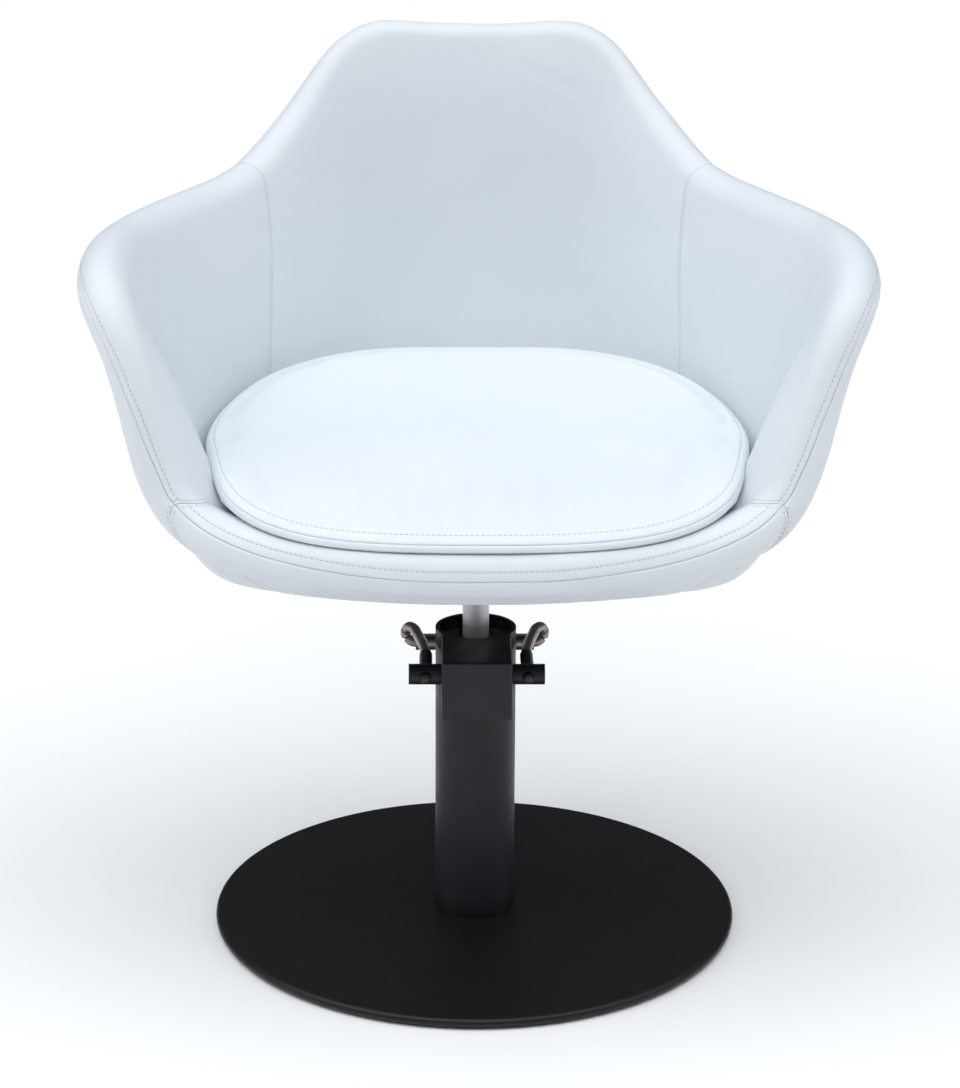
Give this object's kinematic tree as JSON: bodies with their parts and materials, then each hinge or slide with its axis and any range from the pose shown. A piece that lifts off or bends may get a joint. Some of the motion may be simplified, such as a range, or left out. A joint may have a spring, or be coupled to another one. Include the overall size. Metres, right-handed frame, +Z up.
{
  "type": "styling chair",
  "caption": "Hydraulic salon styling chair: padded bucket seat with a loose cushion, swivelling on a foot-pumped column and a round floor plate.",
  "frame": {"origin": "on the floor, on the axis of the column, in the underside of the floor pad", "axes": "+Z up along the column; the seat faces -Y; +X is to the left of a sitter facing -Y, which is the right of a viewer looking at the chair's front"},
  "size_m": [0.6988, 0.536, 0.8262],
  "materials": {
    "rubber": "matte",
    "black_paint": "satin",
    "lever_steel": "satin",
    "plain_steel": "satin",
    "zinc_fasteners": "satin",
    "polished_rod": "polished",
    "bronze": "satin",
    "plywood": "matte",
    "shell_plastic": "matte",
    "foam": "matte",
    "white_leatherette": "satin",
    "cushion_leatherette": "satin",
    "dust_cloth": "matte"
  },
  "bodies": {
    "base": {"floor_pad": "rubber", "base_disc": "black_paint", "base_screws": "zinc_fasteners", "column_foot_plug": "plain_steel", "column_tube": "black_paint", "cylinder_foot": "plain_steel", "cylinder_foot_seal": "rubber", "hydraulic_cylinder": "plain_steel", "transfer_pipe": "bronze", "column_cap": "black_paint", "rod_guide_bush": "bronze", "rod_wiper_seal": "rubber", "pump_head": "black_paint", "shaft_bushes": "bronze", "shaft_seals": "rubber", "pump_bore_plug": "plain_steel", "check_balls": "plain_steel", "plunger_spring": "plain_steel", "release_spring": "plain_steel"},
    "plunger": {"pump_plunger": "plain_steel"},
    "release_valve": {"release_pin": "plain_steel"},
    "foot_lever": {"cross_shaft": "black_paint", "pump_cam": "plain_steel", "cam_pin": "plain_steel", "lever_rod_left": "lever_steel", "lever_rod_right": "lever_steel", "rod_sleeves": "black_paint", "rod_retaining_screws": "zinc_fasteners", "lever_crossbar": "lever_steel", "pedal_arm": "black_paint", "pedal_plate": "black_paint", "pedal_rubber": "rubber", "pedal_screws": "zinc_fasteners"},
    "piston": {"piston_head": "plain_steel", "piston_seal": "rubber", "thrust_washer": "bronze"},
    "seat": {"piston_rod": "polished_rod", "rod_retaining_ring": "plain_steel", "seat_hub": "black_paint", "hub_set_screws": "plain_steel", "plate_ribs": "black_paint", "seat_plate": "black_paint", "plate_bolts": "zinc_fasteners", "plate_washers": "zinc_fasteners", "t_nuts": "zinc_fasteners", "base_board": "plywood", "tub_shell": "shell_plastic", "seat_foam": "foam", "front_foam": "foam", "back_foam": "foam", "arm_foam_left": "foam", "arm_foam_right": "foam", "seat_deck_cover": "white_leatherette", "inner_back_cover": "white_leatherette", "inner_arm_cover_left": "white_leatherette", "inner_arm_cover_right": "white_leatherette", "outer_cover": "white_leatherette", "front_border": "white_leatherette", "dust_cover": "dust_cloth"},
    "cushion": {"seat_cushion": "cushion_leatherette"}
  },
  "joints": [
    {"name": "seat_lift", "type": "slide", "parent": "base", "child": "piston", "axis": [0, 0, 1], "range_m": [0, 0.13]},
    {"name": "seat_swivel", "type": "hinge", "parent": "piston", "child": "seat", "pos_m": [0, 0, 0.3], "axis": [0, 0, 1], "continuous": true},
    {"name": "cushion_lift_off", "type": "slide", "parent": "seat", "child": "cushion", "axis": [0, 0, 1], "range_m": [0, 0.12]},
    {"name": "pump_lever", "type": "hinge", "parent": "base", "child": "foot_lever", "pos_m": [0, -0.08, 0.277], "axis": [-1, 0, 0], "range_deg": [0, 18], "stiffness_Nm_per_rad": 8, "springref_deg": -28.65},
    {"name": "plunger_slide", "type": "slide", "parent": "base", "child": "plunger", "axis": [0, 0, -1], "range_m": [0, 0.0058], "deforming": ["plunger_spring"]},
    {"name": "release_push", "type": "slide", "parent": "base", "child": "release_valve", "axis": [0, 0, -1], "range_m": [0, 0.0015], "stiffness_N_per_m": 300, "springref_m": -0.002, "deforming": ["release_spring"]}
  ],
  "couplings": [
    {"joint": "plunger_slide", "follows": "pump_lever", "m_per_rad": 0.018}
  ]
}
